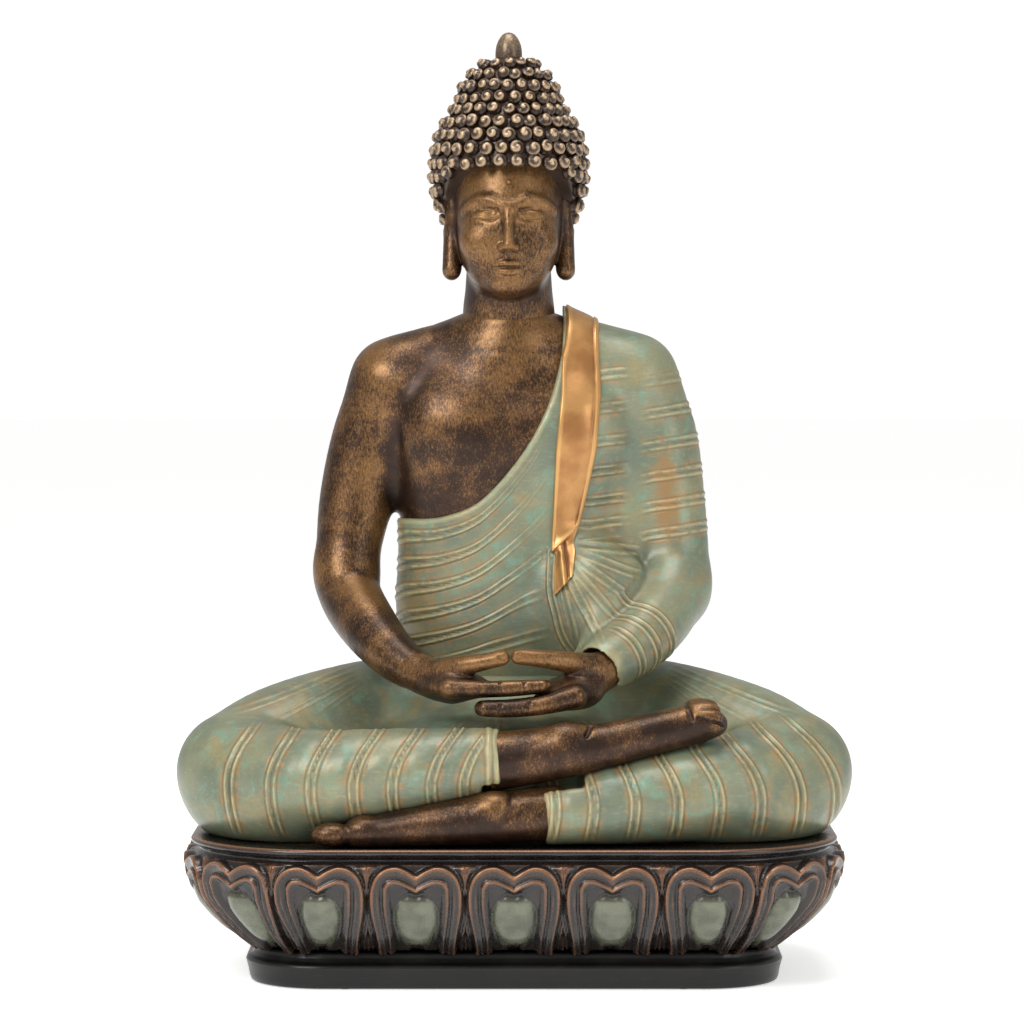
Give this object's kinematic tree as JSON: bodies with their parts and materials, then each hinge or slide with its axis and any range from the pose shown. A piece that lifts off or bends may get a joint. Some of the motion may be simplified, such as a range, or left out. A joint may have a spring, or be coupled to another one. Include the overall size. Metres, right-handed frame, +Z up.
{
  "type": "seated meditation statue",
  "caption": "Seated meditating figure in a draped robe with snail-shell curls, hands joined in the lap, on a rounded lotus pedestal.",
  "frame": {"origin": "on the floor, under the middle of the pedestal's bounding box", "axes": "+Z up; the figure faces -Y; its bare right arm is towards -X"},
  "size_m": [0.4244, 0.2634, 0.6],
  "materials": {
    "verdigris_robe": "cold-cast resin painted verdigris green, rubbed with orange-brown and pale gold on the folds, satin",
    "antique_bronze": "cold-cast resin painted dark brown, dry-brushed with antique gold, satin",
    "copper_sash": "cold-cast resin painted copper gold, satin",
    "base_bronze": "cold-cast resin painted near-black brown, dry-brushed with copper on the edges, satin",
    "gilt_hair": "cold-cast resin painted dark, the curl tips rubbed with gold, satin",
    "fibre_board": "hardboard, painted dark, matte",
    "hardware": "plain zinc-plated steel",
    "insert_brass": "machined brass",
    "pin_steel": "plain rod",
    "pad_felt": "dense black felt"
  },
  "bodies": {
    "root": {"plinth": "base_bronze", "lotus_pedestal": "base_bronze", "petal_01": "base_bronze", "petal_02": "base_bronze", "petal_03": "base_bronze", "petal_04": "base_bronze", "petal_05": "base_bronze", "petal_06": "base_bronze", "petal_07": "base_bronze", "petal_08": "base_bronze", "petal_09": "base_bronze", "petal_10": "base_bronze", "petal_11": "base_bronze", "petal_12": "base_bronze", "petal_13": "base_bronze", "petal_14": "base_bronze", "petal_15": "base_bronze", "petal_16": "base_bronze", "petal_17": "base_bronze", "petal_18": "base_bronze", "petal_19": "base_bronze", "petal_20": "base_bronze", "closing_board": "fibre_board", "board_screws": "hardware", "screw_blocks": "base_bronze", "felt_pads": "pad_felt", "lap_robe": "verdigris_robe", "threaded_inserts": "insert_brass", "figure_bolts": "hardware", "bolt_washers": "hardware", "left_foot": "antique_bronze", "right_foot": "antique_bronze", "torso": "antique_bronze", "robe_drape": "verdigris_robe", "sash": "copper_sash", "right_arm": "antique_bronze", "left_sleeve": "verdigris_robe", "left_hand": "antique_bronze", "right_hand": "antique_bronze", "head": "antique_bronze", "neck_dowel": "pin_steel", "forehead_bead": "antique_bronze", "hair_cap": "gilt_hair", "hair_curls": "gilt_hair", "topknot_jewel": "gilt_hair"}
  },
  "joints": []
}
